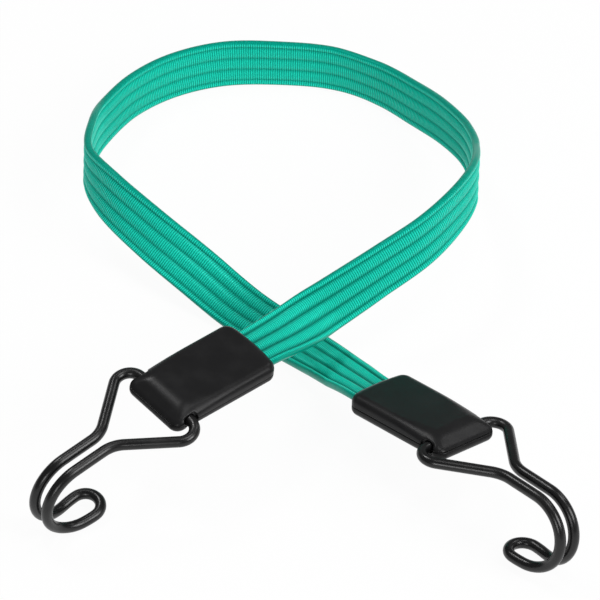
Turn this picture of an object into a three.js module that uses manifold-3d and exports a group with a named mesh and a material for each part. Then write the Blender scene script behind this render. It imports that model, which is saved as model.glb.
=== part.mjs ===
// Flat bungee cord: a ribbed elastic strap laid in one open loop, with a two-part housing on each end
// and a formed twin-wire hook that swings in each housing. It stands on the strap's back edge and on
// the two hooks. Millimetres, +Z up, origin on the floor in the middle between the two hook ends.
import * as THREE from 'three';
import { mergeVertices } from 'three/addons/utils/BufferGeometryUtils.js';
import Module from 'manifold-3d';

const wasm = await Module();
wasm.setup();

// Clearances
const SEAT_GAP = 0.3; // between pieces that seat on or slide in each other
const CORE_GAP = 0.25; // between a rubber core and its channel in the cover
const CUT_OVERRUN = 1; // how far a cut runs out of the face that it opens

// Strap: a woven cover with a row of full ribs between two half ribs, and a rubber core in each rib
const STRAP_WIDTH = 20;
const STRAP_THICKNESS = 3;
const FULL_RIBS = 3;
const GROOVE_DEPTH = 0.45;
const COVER_WALL = 0.65; // woven cover over a core
const RIB_WEB = 1.3; // woven cover between two cores

// Housing, around the strap end
const STRAP_GRIP = 29.5; // length of strap inside the housing
const STRAP_STOP = 13.5; // pivot axis to the end of the strap
const NOSE_SETBACK = 7.5; // pivot axis to the hook end of the housing
const SIDE_WALL = 3.1;
const TOP_WALL = 1.7;
const BOTTOM_WALL = 1.2;
const CORNER_RADIUS = 4;
const EDGE_ROUND = 3.6; // plan width of the soft edge round the top and the bottom
const EDGE_DROP = 3; // height of this edge
const REAR_BOW = 1.2; // how far the rear edge bulges in the middle
const NOSE_SLOPE = 7; // plan length of the sloped facet at the hook end
const NOSE_DROP = 4.2; // height that this facet loses
const NOSE_RIDGE = 15; // length of the ridge where it starts
const SHOULDER_TURN = 58; // degrees, turn of the two facets beside the ridge
const EYE_RECESS = 3.3; // radius of the recess round each wire hole
const EYE_RECESS_DEPTH = 1.4;
const PEG_DIAMETER = 3;
const PEG_LENGTH = 2.4; // below the parting plane
const PEG_ROOT = 1; // above it, inside the upper shell
const PEG_SETBACK = 7.5; // pivot axis to the locating pegs
const PEG_SPREAD = 15; // distance between the two pegs

// Steel band crimped round the strap end
const CRIMP_WALL = 0.8;
const CRIMP_LENGTH = 8;
const CRIMP_INSET = 3; // end of the strap to the near edge of the band

// Hook, one coated steel wire bent to twin wires
const WIRE_DIAMETER = 4.2;
const LEG_SPACE = 6; // between the two wire ends inside the housing
const ELBOW_INSET = 0.5; // how far inside the housing wall, in its recess, the elbow starts
const ELBOW_RADIUS = 5.8;
const ARM_ANGLE = 38.5; // degrees between an arm and the hook's length
const NECK_RADIUS = 4.8; // bend where the arms turn into the shank
const SHANK_SPACE = 2.7; // between the twin wires
const HOOK_REACH = 46; // pivot axis to the middle of the hook's bend
const HOOK_RADIUS = 14.3; // centreline of the hook's bend
const FLARE_TURN = 120; // degrees of the bend after which the twin wires draw apart
const TIP_LENGTH = 11; // end of the bend to the middle of the wire at the tip
const TIP_EYE = 7.4; // inner width of the eye at the tip

// Facets of the round forms, and steps along the strap and along each bend of the wire
const FACETS = {
  rib: 4,
  strap: 44,
  corner: 5,
  edge: 3,
  hole: 20,
  peg: 16,
  wire: 10,
  elbow: 8,
  neck: 3,
  bend: 14,
  tip: 3,
  eye: 5,
};

// Where the two ends lie: plan position of the pivot, then yaw, pitch and roll in degrees, and how far
// the hook is swung about its pivot. The height follows from the hook, which stands on the floor. The
// strap leaves the left housing with its width turned one way about its route, and the right one the other.
const LEFT_END = {
  name: 'left',
  at: [-50, 13.9],
  turn: { yaw: -138.5, pitch: -1.3, roll: -5.7 },
  swing: -8.3,
  strapSide: -1,
};
const RIGHT_END = {
  name: 'right',
  at: [55.5, 2.9],
  turn: { yaw: -46.9, pitch: -8.4, roll: -10.3 },
  swing: -4.4,
  strapSide: 1,
};

// Free route of the strap from the left housing to the right one: middle of the strap, and its lean in
// degrees from standing on edge
const STRAP_ROUTE = [
  { at: [-4.5, 58.5, 31], lean: -69 },
  { at: [9.5, 75, 28.5], lean: -37 },
  { at: [28, 89, 32.5], lean: -24 },
  { at: [46.5, 102, 38], lean: -18 },
  { at: [59, 118.5, 39.5], lean: -10 },
  { at: [66, 138.5, 35.5], lean: -2 },
  { at: [67, 158.5, 28], lean: 4 },
  { at: [64.5, 179, 22.5], lean: 4 },
  { at: [56, 198.5, 18], lean: 6 },
  { at: [45, 216.5, 13], lean: 8 },
  { at: [31, 232.5, 10.5], lean: 6 },
  { at: [13, 243, 10], lean: 6 },
  { at: [-9.5, 246.5, 10], lean: 7 },
  { at: [-32.5, 246, 10], lean: 10 },
  { at: [-52.5, 238.5, 10], lean: 9 },
  { at: [-68, 224, 11.5], lean: 6 },
  { at: [-78.5, 205.5, 13.5], lean: 5 },
  { at: [-83, 185.5, 19.5], lean: 1 },
  { at: [-84, 163.5, 23.5], lean: -4 },
  { at: [-75, 144, 25], lean: -24 },
  { at: [-59, 127.5, 20], lean: -38 },
  { at: [-41, 113.5, 12.5], lean: -54 },
  { at: [-23, 99, 5.5], lean: -70 },
  { at: [-5.5, 84, 4], lean: -82 },
  { at: [7, 68, 8], lean: -87 },
  { at: [17, 50.5, 15], lean: -88 },
];

// Sizes that follow from those above
const radians = THREE.MathUtils.degToRad;
const wireRadius = WIRE_DIAMETER / 2;
const slotWidth = STRAP_WIDTH + 2 * SEAT_GAP;
const slotHeight = STRAP_THICKNESS + 2 * SEAT_GAP;
const crimpWidth = slotWidth + 2 * CRIMP_WALL;
const crimpHeight = slotHeight + 2 * CRIMP_WALL;
const housingWidth = crimpWidth + 2 * SEAT_GAP + 2 * SIDE_WALL;
const housingTop = crimpHeight / 2 + SEAT_GAP + TOP_WALL;
const housingBottom = crimpHeight / 2 + SEAT_GAP + BOTTOM_WALL;
const housingRear = STRAP_STOP + STRAP_GRIP;
const ribPitch = STRAP_WIDTH / (FULL_RIBS + 1);

// Finishes
function finish(color, roughness, metalness) {
  return new THREE.MeshStandardMaterial({ color, roughness, metalness });
}
const COVER_FINISH = finish(0x14a88a, 0.8, 0);
const RUBBER_FINISH = finish(0xd8cdb0, 0.7, 0);
const SHELL_FINISH = finish(0x1c1c1e, 0.45, 0);
const STEEL_FINISH = finish(0xb4b6b8, 0.35, 0.9);
const WIRE_FINISH = finish(0x121214, 0.25, 0.2);

// A closed three.js geometry as a solid that can be joined and cut
function solid(geometry) {
  const bare = geometry.index ? geometry.toNonIndexed() : geometry.clone();
  bare.deleteAttribute('normal');
  bare.deleteAttribute('uv');
  const merged = mergeVertices(bare, 1e-4);
  return new wasm.Manifold(
    new wasm.Mesh({
      numProp: 3,
      vertProperties: new Float32Array(merged.attributes.position.array),
      triVerts: new Uint32Array(merged.index.array),
    }),
  );
}

// A solid back as a geometry for a mesh
function geometryOf(body) {
  const mesh = body.getMesh();
  const geometry = new THREE.BufferGeometry();
  geometry.setAttribute('position', new THREE.BufferAttribute(new Float32Array(mesh.vertProperties), 3));
  geometry.setIndex(new THREE.BufferAttribute(new Uint32Array(mesh.triVerts), 1));
  geometry.computeVertexNormals();
  return geometry;
}

function namedMesh(name, geometry, material) {
  const mesh = new THREE.Mesh(geometry, material);
  mesh.name = name;
  return mesh;
}

// A box between two corners
function block(low, high) {
  const size = high.map((value, axis) => value - low[axis]);
  const middle = high.map((value, axis) => (value + low[axis]) / 2);
  return solid(new THREE.BoxGeometry(...size).translate(...middle));
}

// A round bar along Y from one side to the other
function crossBar(radius, fromY, toY) {
  const bar = new THREE.CylinderGeometry(radius, radius, Math.abs(toY - fromY), FACETS.hole);
  return solid(bar.translate(0, (fromY + toY) / 2, 0));
}

// The ribs across the strap, each with the channel for its core: full ribs between two half ribs
function strapRibs() {
  const half = { width: ribPitch / 2, facets: FACETS.rib / 2 };
  const edge = (STRAP_WIDTH - half.width) / 2;
  const ribs = [{ u: -edge, ...half }];
  for (let i = 0; i < FULL_RIBS; i += 1) {
    ribs.push({ u: (i - (FULL_RIBS - 1) / 2) * ribPitch, width: ribPitch, facets: FACETS.rib });
  }
  ribs.push({ u: edge, ...half });
  return ribs;
}

// Strap section: the outline goes over the ribs of one face and back over those of the other
function strapOutline() {
  const face = [[-STRAP_WIDTH / 2, STRAP_THICKNESS / 2 - GROOVE_DEPTH]];
  strapRibs().forEach(({ u, width, facets }) => {
    for (let i = 1; i <= facets; i += 1) {
      const share = (2 * i) / facets - 1;
      face.push([u + (share * width) / 2, STRAP_THICKNESS / 2 - GROOVE_DEPTH * share ** 2]);
    }
  });
  const points = face.map(([u, v]) => new THREE.Vector2(u, -v));
  face.reverse().forEach(([u, v]) => points.push(new THREE.Vector2(u, v)));
  return points;
}

// A flattened hexagon, as wide and high as asked
function flatHexagon(u, width, height) {
  const shoulder = width / 2 - height / 4;
  return [
    [u - width / 2, 0],
    [u - shoulder, -height / 2],
    [u + shoulder, -height / 2],
    [u + width / 2, 0],
    [u + shoulder, height / 2],
    [u - shoulder, height / 2],
  ].map(([x, y]) => new THREE.Vector2(x, y));
}

// The way up and the way to the side, both square to a direction
function squareTo(tangent) {
  const upright = new THREE.Vector3(0, 0, 1).addScaledVector(tangent, -tangent.z).normalize();
  return { upright, side: new THREE.Vector3().crossVectors(tangent, upright) };
}

// How far the strap's width leans from upright, for a direction of the strap
function leanOf(tangent, across) {
  const { upright, side } = squareTo(tangent);
  return Math.atan2(across.dot(side), across.dot(upright));
}

// The strap's middle, the direction across it and the way it faces, at each step from left to right
function strapStations(leftFrame, rightFrame) {
  const inside = (frame, x) => new THREE.Vector3(x, 0, 0).applyMatrix4(frame);
  const seats = [-STRAP_STOP, -STRAP_STOP - STRAP_GRIP / 2, -housingRear];
  const points = seats.map((x) => inside(leftFrame, x));
  STRAP_ROUTE.forEach(({ at }) => points.push(new THREE.Vector3(...at)));
  seats.toReversed().forEach((x) => points.push(inside(rightFrame, x)));
  const endLean = (frame, end, along) => {
    const [tangent, across] = [new THREE.Vector3(along, 0, 0), new THREE.Vector3(0, end.strapSide, 0)];
    return leanOf(tangent.transformDirection(frame), across.transformDirection(frame));
  };
  const leans = [
    ...seats.map(() => endLean(leftFrame, LEFT_END, -1)),
    ...STRAP_ROUTE.map(({ lean }) => radians(lean)),
    ...seats.map(() => endLean(rightFrame, RIGHT_END, 1)),
  ];
  const route = new THREE.CatmullRomCurve3(points);
  const leanCurve = new THREE.CatmullRomCurve3(leans.map((lean) => new THREE.Vector3(lean, 0, 0)));
  route.arcLengthDivisions = FACETS.strap ** 2;
  const stations = [];
  for (let i = 0; i <= FACETS.strap; i += 1) {
    const along = i / FACETS.strap;
    const tangent = route.getTangentAt(along);
    const lean = leanCurve.getPoint(route.getUtoTmapping(along)).x;
    const { upright, side } = squareTo(tangent);
    const across = upright.multiplyScalar(Math.cos(lean)).addScaledVector(side, Math.sin(lean));
    const face = new THREE.Vector3().crossVectors(tangent, across);
    stations.push({ middle: route.getPointAt(along), across, face });
  }
  return stations;
}

// A strap section drawn out flat, then laid along the stations
function layStrap(shape, stations) {
  const drawn = { depth: FACETS.strap, steps: FACETS.strap, bevelEnabled: false };
  const geometry = new THREE.ExtrudeGeometry(shape, drawn);
  const { position } = geometry.attributes;
  for (let i = 0; i < position.count; i += 1) {
    const { middle, across, face } = stations[Math.round(position.getZ(i))];
    const point = middle
      .clone()
      .addScaledVector(across, position.getX(i))
      .addScaledVector(face, position.getY(i));
    position.setXYZ(i, point.x, point.y, point.z);
  }
  return geometry;
}

// The same stations with both ends moved out, for a channel that runs out of the strap's end faces
function overrun(stations) {
  const moved = (station, distance) => {
    const along = new THREE.Vector3().crossVectors(station.across, station.face);
    return { ...station, middle: station.middle.clone().addScaledVector(along, distance) };
  };
  const last = stations.length - 1;
  return [
    moved(stations[0], -CUT_OVERRUN),
    ...stations.slice(1, last),
    moved(stations[last], CUT_OVERRUN),
  ];
}

function strapMeshes(stations) {
  const tallest = STRAP_THICKNESS - 2 * COVER_WALL;
  let cover = solid(layStrap(new THREE.Shape(strapOutline()), stations));
  const cores = strapRibs().map(({ u, width }, i) => {
    const channel = [width - RIB_WEB, Math.min(tallest, width - RIB_WEB)];
    const core = channel.map((size) => size - 2 * CORE_GAP);
    const bore = layStrap(new THREE.Shape(flatHexagon(u, ...channel)), overrun(stations));
    cover = cover.subtract(solid(bore));
    const geometry = layStrap(new THREE.Shape(flatHexagon(u, ...core)), stations);
    return namedMesh(`rubber_core_${i + 1}`, geometry, RUBBER_FINISH);
  });
  return [namedMesh('woven_cover', geometryOf(cover), COVER_FINISH), ...cores];
}

// Housing, in its own frame: pivot axis along Y through the origin, +X to the hook, parting plane at Z 0
function housingOutline() {
  const cornerY = housingWidth / 2 - CORNER_RADIUS;
  const frontX = NOSE_SETBACK - CORNER_RADIUS;
  const rearX = REAR_BOW - housingRear + CORNER_RADIUS;
  const shape = new THREE.Shape();
  shape.absarc(frontX, -cornerY, CORNER_RADIUS, -Math.PI / 2, 0);
  shape.absarc(frontX, cornerY, CORNER_RADIUS, 0, Math.PI / 2);
  shape.absarc(rearX, cornerY, CORNER_RADIUS, Math.PI / 2, Math.PI);
  shape.quadraticCurveTo(-housingRear - REAR_BOW, 0, rearX - CORNER_RADIUS, -cornerY);
  shape.absarc(rearX, -cornerY, CORNER_RADIUS, Math.PI, 1.5 * Math.PI);
  return shape;
}

// A wedge that takes the nose facet off: its ridge lies along Y through the origin, at the top face
function noseWedge() {
  const far = 2 * NOSE_SLOPE;
  const section = new THREE.Shape([
    new THREE.Vector2(0, 0),
    new THREE.Vector2(far, (-far * NOSE_DROP) / NOSE_SLOPE),
    new THREE.Vector2(far, housingTop),
    new THREE.Vector2(0, housingTop),
  ]);
  const wedge = new THREE.ExtrudeGeometry(section, { depth: 2 * housingWidth, bevelEnabled: false });
  return wedge.translate(0, 0, -housingWidth).rotateX(Math.PI / 2);
}

function housingBody() {
  const height = housingTop + housingBottom;
  const form = new THREE.ExtrudeGeometry(housingOutline(), {
    depth: height - 2 * EDGE_DROP,
    curveSegments: FACETS.corner,
    bevelThickness: EDGE_DROP,
    bevelSize: EDGE_ROUND,
    bevelOffset: -EDGE_ROUND,
    bevelSegments: FACETS.edge,
  });
  const ridgeX = NOSE_SETBACK - NOSE_SLOPE;
  let body = solid(form.translate(0, 0, EDGE_DROP - housingBottom));
  body = body.subtract(solid(noseWedge().translate(ridgeX, 0, housingTop)));
  for (const side of [-1, 1]) {
    const shoulder = noseWedge().rotateZ(side * radians(SHOULDER_TURN));
    body = body.subtract(solid(shoulder.translate(ridgeX, (side * NOSE_RIDGE) / 2, housingTop)));
  }
  return body;
}

// Everything that the two shells leave open: strap slot, band pocket, wire holes and their recesses
function housingOpenings() {
  const bandEnd = -STRAP_STOP - CRIMP_INSET;
  const pocket = [crimpWidth / 2 + SEAT_GAP, crimpHeight / 2 + SEAT_GAP];
  const beyond = housingRear + CUT_OVERRUN;
  let open = block(
    [-beyond, -slotWidth / 2, -slotHeight / 2],
    [-STRAP_STOP + SEAT_GAP, slotWidth / 2, slotHeight / 2],
  );
  open = open.add(
    block(
      [bandEnd - CRIMP_LENGTH - SEAT_GAP, -pocket[0], -pocket[1]],
      [bandEnd + SEAT_GAP, pocket[0], pocket[1]],
    ),
  );
  for (const side of [-1, 1]) {
    const wall = (side * housingWidth) / 2;
    const legEnd = side * (LEG_SPACE / 2 - SEAT_GAP);
    const outside = wall + side * CUT_OVERRUN;
    open = open.add(crossBar(wireRadius + SEAT_GAP, legEnd, outside));
    open = open.add(crossBar(EYE_RECESS, wall - side * EYE_RECESS_DEPTH, outside));
  }
  return open;
}

// The locating pegs of the upper shell, grown by the clearance for their sockets in the lower shell
function locatingPegs(room) {
  const length = PEG_LENGTH + PEG_ROOT + room;
  const radius = PEG_DIAMETER / 2 + room;
  const pegs = [-1, 1].map((side) => {
    const peg = new THREE.CylinderGeometry(radius, radius, length, FACETS.peg).rotateX(Math.PI / 2);
    return solid(peg.translate(-PEG_SETBACK, (side * PEG_SPREAD) / 2, PEG_ROOT - length / 2));
  });
  return pegs[0].add(pegs[1]);
}

function housingShells() {
  const reach = 2 * housingRear;
  const shell = housingBody().subtract(housingOpenings());
  const upperHalf = block([-reach, -reach, SEAT_GAP / 2], [reach, reach, reach]);
  const lowerHalf = block([-reach, -reach, -reach], [reach, reach, -SEAT_GAP / 2]);
  return {
    upper: geometryOf(shell.intersect(upperHalf).add(locatingPegs(0))),
    lower: geometryOf(shell.intersect(lowerHalf).subtract(locatingPegs(SEAT_GAP))),
  };
}

// The steel band crimped round the strap end
function crimpBand() {
  const end = -STRAP_STOP - CRIMP_INSET;
  const [halfWidth, halfHeight] = [crimpWidth / 2, crimpHeight / 2];
  const band = block([end - CRIMP_LENGTH, -halfWidth, -halfHeight], [end, halfWidth, halfHeight]);
  const hole = block(
    [end - CRIMP_LENGTH - CUT_OVERRUN, -slotWidth / 2, -slotHeight / 2],
    [end + CUT_OVERRUN, slotWidth / 2, slotHeight / 2],
  );
  return geometryOf(band.subtract(hole));
}

// Half of the hook's centreline, from the wire end inside the housing to the middle of the tip eye
function hookHalf() {
  const points = [];
  const put = (x, y, z) => points.push(new THREE.Vector3(x, y, z));
  const sweep = (steps, from, to, place) => {
    for (let i = 1; i <= steps; i += 1) {
      place(from + ((to - from) * i) / steps);
    }
  };
  const elbowY = housingWidth / 2 - ELBOW_INSET;
  const shankY = (SHANK_SPACE + WIRE_DIAMETER) / 2;
  const eyeRadius = (TIP_EYE + WIRE_DIAMETER) / 2;
  const arm = radians(ARM_ANGLE);
  put(0, LEG_SPACE / 2, 0);
  put(0, elbowY, 0);
  sweep(FACETS.elbow, 0, Math.PI / 2 + arm, (turn) =>
    put(ELBOW_RADIUS * (1 - Math.cos(turn)), elbowY + ELBOW_RADIUS * Math.sin(turn), 0),
  );
  const elbowEnd = points.at(-1);
  const neckDrop = NECK_RADIUS * (1 - Math.cos(arm));
  const neckX = elbowEnd.x + (elbowEnd.y - shankY - neckDrop) / Math.tan(arm) + NECK_RADIUS * Math.sin(arm);
  put(neckX - NECK_RADIUS * Math.sin(arm), shankY + neckDrop, 0);
  sweep(FACETS.neck, arm, 0, (turn) =>
    put(neckX - NECK_RADIUS * Math.sin(turn), shankY + NECK_RADIUS * (1 - Math.cos(turn)), 0),
  );
  put(HOOK_REACH, shankY, 0);
  const eyeStart = TIP_LENGTH - eyeRadius;
  const flareStart = HOOK_RADIUS * radians(FLARE_TURN);
  const flareEnd = HOOK_RADIUS * Math.PI + eyeStart;
  const flaredY = (run) => {
    const share = THREE.MathUtils.clamp((run - flareStart) / (flareEnd - flareStart), 0, 1);
    return shankY + ((eyeRadius - shankY) * (1 - Math.cos(Math.PI * share))) / 2;
  };
  sweep(FACETS.bend, 0, Math.PI, (turn) =>
    put(
      HOOK_REACH + HOOK_RADIUS * Math.sin(turn),
      flaredY(HOOK_RADIUS * turn),
      HOOK_RADIUS * (Math.cos(turn) - 1),
    ),
  );
  sweep(FACETS.tip, 0, eyeStart, (run) =>
    put(HOOK_REACH - run, flaredY(HOOK_RADIUS * Math.PI + run), -2 * HOOK_RADIUS),
  );
  sweep(FACETS.eye, 0, Math.PI / 2, (turn) =>
    put(HOOK_REACH - eyeStart - eyeRadius * Math.sin(turn), eyeRadius * Math.cos(turn), -2 * HOOK_RADIUS),
  );
  return points;
}

// The wire's centreline as a curve with one section at each of its points
class WireLine extends THREE.Curve {
  constructor(points) {
    super();
    this.points = points;
  }

  getPointAt(share) {
    return this.points[Math.round(share * (this.points.length - 1))].clone();
  }

  getTangentAt(share) {
    const i = Math.round(share * (this.points.length - 1));
    const before = this.points[Math.max(i - 1, 0)];
    const after = this.points[Math.min(i + 1, this.points.length - 1)];
    const here = this.points[i];
    const arrive = i > 0 ? here.clone().sub(before).normalize() : after.clone().sub(here).normalize();
    const leave = after === here ? arrive : after.clone().sub(here).normalize();
    return arrive.clone().add(leave).normalize();
  }
}

function hookGeometry() {
  const half = hookHalf();
  const mirrored = half.slice(0, -1).reverse().map((p) => new THREE.Vector3(p.x, -p.y, p.z));
  const points = [...half, ...mirrored];
  const section = [];
  for (let i = 0; i < FACETS.wire; i += 1) {
    const turn = (2 * Math.PI * i) / FACETS.wire;
    section.push(new THREE.Vector2(wireRadius * Math.cos(turn), wireRadius * Math.sin(turn)));
  }
  return new THREE.ExtrudeGeometry(new THREE.Shape(section), {
    steps: points.length - 1,
    extrudePath: new WireLine(points),
    bevelEnabled: false,
  });
}

// One end: housing shells, band and hook in a group that stands with the hook on the floor
function endGroup(end) {
  const shells = housingShells();
  const hook = namedMesh(`${end.name}_hook`, hookGeometry(), WIRE_FINISH);
  hook.rotation.y = -radians(end.swing);
  const group = new THREE.Group();
  group.add(
    namedMesh(`${end.name}_upper_shell`, shells.upper, SHELL_FINISH),
    namedMesh(`${end.name}_lower_shell`, shells.lower, SHELL_FINISH),
    namedMesh(`${end.name}_crimp_band`, crimpBand(), STEEL_FINISH),
    hook,
  );
  const { yaw, pitch, roll } = end.turn;
  group.rotation.set(radians(roll), radians(pitch), radians(yaw), 'ZYX');
  const lowest = new THREE.Box3().setFromObject(group, true).min.z;
  group.position.set(...end.at, -lowest);
  group.updateMatrixWorld(true);
  return group;
}

const leftEnd = endGroup(LEFT_END);
const rightEnd = endGroup(RIGHT_END);
const cord = new THREE.Group();
cord.add(leftEnd, rightEnd, ...strapMeshes(strapStations(leftEnd.matrixWorld, rightEnd.matrixWorld)));

export default cord;
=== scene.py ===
"""A flat bungee cord in a plain studio: ribbed elastic strap, moulded housings and wire hooks."""

import logging
import math
from collections.abc import Callable
from dataclasses import dataclass
from enum import Enum, IntEnum
from typing import NamedTuple

import bpy
import numpy as np
from mathutils import Matrix, Vector


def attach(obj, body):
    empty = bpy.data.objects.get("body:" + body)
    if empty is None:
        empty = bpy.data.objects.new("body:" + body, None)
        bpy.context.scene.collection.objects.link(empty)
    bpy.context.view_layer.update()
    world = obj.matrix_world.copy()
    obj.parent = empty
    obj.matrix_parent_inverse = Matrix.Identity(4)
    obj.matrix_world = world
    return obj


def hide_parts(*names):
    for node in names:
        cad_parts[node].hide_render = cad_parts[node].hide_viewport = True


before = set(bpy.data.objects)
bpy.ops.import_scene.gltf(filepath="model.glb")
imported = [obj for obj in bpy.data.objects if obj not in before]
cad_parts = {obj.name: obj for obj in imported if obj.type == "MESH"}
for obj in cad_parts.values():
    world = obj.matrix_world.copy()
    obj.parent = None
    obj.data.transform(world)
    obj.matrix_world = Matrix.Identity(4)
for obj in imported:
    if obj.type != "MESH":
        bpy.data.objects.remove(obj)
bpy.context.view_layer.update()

Array = np.ndarray
Field = Callable[[Array], Array]
Faces = list[list[int]]
Socket = bpy.types.NodeSocket
Material = bpy.types.Material
Mesh = bpy.types.Mesh
Piece = bpy.types.Object
Colour = tuple[float, float, float]
Place = tuple[float, float, float]
Span = tuple[float, float]

LOG = logging.getLogger("bungee")
MM = 0.001
BODY = "strap_and_housings"
BOTH_SIDES = (-1, 1)
FULL: Span = (0.0, 1.0)
# Where most values of a noise pattern lie
MOST_NOISE: Span = (0.3, 0.7)


class End(Enum):
    """The two ends of the cord."""

    LEFT = "left"
    RIGHT = "right"


class Shell(Enum):
    """The two halves of a housing."""

    UPPER = "upper"
    LOWER = "lower"


class Axis(IntEnum):
    """The directions of a housing."""

    ALONG = 0
    ACROSS = 1
    UP = 2


@dataclass(frozen=True)
class EndPlace:
    """Where one end of the cord lies: pivot in metres, turn in degrees and its hook's swing."""

    end: End
    pivot: Place
    yaw: float
    pitch: float
    roll: float
    swing: float
    strap_side: int

    def turn(self) -> Array:
        """Turns the housing about the upright, the pivot and the strap, in that order.

        Returns:
            The 3 x 3 turn.
        """
        turn = Matrix.Identity(3)
        for degrees, axis in ((self.yaw, "Z"), (self.pitch, "Y"), (self.roll, "X")):
            turn = turn @ Matrix.Rotation(math.radians(degrees), 3, axis)
        return np.array(turn)

    def hook_turn(self) -> Array:
        """The 3 x 3 turn of the hook, swung about its pivot."""
        return self.turn() @ np.array(Matrix.Rotation(-math.radians(self.swing), 3, "Y"))

    def placed(self, points: Array, turn: Array) -> Array:
        """Puts points in millimetres from this end's pivot in the cord's frame, in metres."""
        return points @ turn.T * MM + np.array(self.pivot)


LEFT_PLACE = EndPlace(
    End.LEFT, (-0.05, 0.0139, 0.036457),
    yaw=-138.5, pitch=-1.3, roll=-5.7, swing=-8.3, strap_side=-1,
)
RIGHT_PLACE = EndPlace(
    End.RIGHT, (0.0555, 0.0029, 0.028379),
    yaw=-46.9, pitch=-8.4, roll=-10.3, swing=-4.4, strap_side=1,
)


class NodeBoard:
    """Adds and joins the shader nodes of one material."""

    def __init__(self, name: str) -> None:
        """Starts a material with a bare shader.

        Args:
            name: the material's name.
        """
        self.material = bpy.data.materials.new(name)
        self.material.use_nodes = True
        self.tree = self.material.node_tree
        self.shader = self.tree.nodes["Principled BSDF"]

    def add(self, kind: str, **settings: object) -> bpy.types.Node:
        """Adds a node.

        Args:
            kind: the node's type name.
            settings: its properties.

        Returns:
            The node.
        """
        node = self.tree.nodes.new(kind)
        for key, value in settings.items():
            setattr(node, key, value)
        return node

    def join(self, start: Socket, end: Socket) -> None:
        """Joins two sockets."""
        self.tree.links.new(start, end)

    def fixed(self, **values: object) -> None:
        """Sets the shader's own sockets, with underscores for the spaces in their names."""
        for key, value in values.items():
            self.shader.inputs[key.replace("_", " ")].default_value = value

    def feed(self, **sources: Socket) -> None:
        """Joins sockets to the shader's own, named as for fixed."""
        for key, source in sources.items():
            self.join(source, self.shader.inputs[key.replace("_", " ")])

    def reading(self, attribute: str) -> Socket:
        """The value of a mesh attribute."""
        return self.add("ShaderNodeAttribute", attribute_name=attribute).outputs["Fac"]

    def noise(
        self, scale: float, detail: float, stretch: Place = (1, 1, 1), map_name: str = ""
    ) -> Socket:
        """A noise pattern in the object's own frame, or in a UV map.

        Args:
            scale: lumps per unit.
            detail: octaves.
            stretch: scale along each direction.
            map_name: the UV map to lie in, if any.

        Returns:
            The pattern's value, about 0.5 in the middle.
        """
        if map_name:
            place = self.add("ShaderNodeUVMap", uv_map=map_name).outputs["UV"]
        else:
            place = self.add("ShaderNodeTexCoord").outputs["Object"]
        mapping = self.add("ShaderNodeMapping")
        mapping.inputs["Scale"].default_value = stretch
        self.join(place, mapping.inputs["Vector"])
        noise = self.add("ShaderNodeTexNoise")
        noise.inputs["Scale"].default_value = scale
        noise.inputs["Detail"].default_value = detail
        self.join(mapping.outputs["Vector"], noise.inputs["Vector"])
        return noise.outputs["Fac"]

    def ranged(self, value: Socket, start: Span, end: Span) -> Socket:
        """Maps a value from one range to another.

        Args:
            value: what comes in.
            start: its low and high limits.
            end: what they become.

        Returns:
            The mapped value.
        """
        node = self.add("ShaderNodeMapRange")
        names = ("From Min", "From Max", "To Min", "To Max")
        for name, number in zip(names, (*start, *end)):
            node.inputs[name].default_value = number
        self.join(value, node.inputs["Value"])
        return node.outputs["Result"]

    def mixed(self, share: Socket, low: Colour | Socket, high: Colour | Socket) -> Socket:
        """Mixes two colours.

        Args:
            share: 0 for the first and 1 for the second.
            low: a colour, or a socket that gives one.
            high: likewise.

        Returns:
            The mixed colour.
        """
        node = self.add("ShaderNodeMix", data_type="RGBA")
        colours = [socket for socket in node.inputs if socket.type == "RGBA"]
        self.join(share, node.inputs["Factor"])
        for socket, colour in zip(colours, (low, high)):
            if isinstance(colour, tuple):
                socket.default_value = (*colour, 1)
            else:
                self.join(colour, socket)
        return next(socket for socket in node.outputs if socket.type == "RGBA")

    def bumped(self, height: Socket, strength: float, depth: float) -> None:
        """Gives the shader a bump.

        Args:
            height: the pattern.
            strength: how much of it shows.
            depth: its height in metres.
        """
        bump = self.add("ShaderNodeBump")
        bump.inputs["Strength"].default_value = strength
        bump.inputs["Distance"].default_value = depth
        self.join(height, bump.inputs["Height"])
        self.feed(Normal=bump.outputs["Normal"])


# In each finish, a noise pattern is its lumps per unit and its octaves, and a bump is its
# strength and its depth in metres.


@dataclass(frozen=True)
class WovenFinish:
    """Teal elastic weave: bright cross threads with a painted highlight, and painted shade in the
    grooves.
    """

    thread: Colour = (0.0, 0.34, 0.24)
    shaded: Colour = (0.0, 0.24, 0.168)
    # The cross threads' colour, brighter than the weave as their painted highlight
    tick_and_highlight: Colour = (0.02, 0.8, 0.6)
    # Painted shade in the grooves
    groove: Colour = (0.0, 0.145, 0.1)
    gloss: Colour = (0.05, 1.0, 0.83)
    specular: float = 0.4
    roughness: Span = (0.28, 0.4)
    yarn: Span = (1.0, 2)
    yarn_stretch: Place = (1500, 420, 1)
    tick_and_highlight_from: Span = (0.1, 0.7)
    bump: Span = (0.25, 0.0001)

    def material(self) -> Material:
        """Builds the material.

        Returns:
            The weave, which reads the strap's weave map and its thread and groove values.
        """
        board = NodeBoard("woven_teal")
        yarn = board.noise(*self.yarn, self.yarn_stretch, "weave")
        body = board.mixed(board.ranged(yarn, MOST_NOISE, FULL), self.shaded, self.thread)
        # Each high ring of a cross thread takes the thread colour with a painted highlight,
        # strongest on the rib flanks; the grooves take a painted shade
        tick_and_highlight = board.ranged(board.reading("thread"), self.tick_and_highlight_from, FULL)
        lit = board.mixed(tick_and_highlight, body, self.tick_and_highlight)
        colour = board.mixed(board.reading("groove"), lit, self.groove)
        board.feed(Base_Color=colour, Roughness=board.ranged(yarn, MOST_NOISE, self.roughness))
        board.fixed(Specular_IOR_Level=self.specular, Specular_Tint=(*self.gloss, 1))
        board.bumped(yarn, *self.bump)
        return board.material


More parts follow.
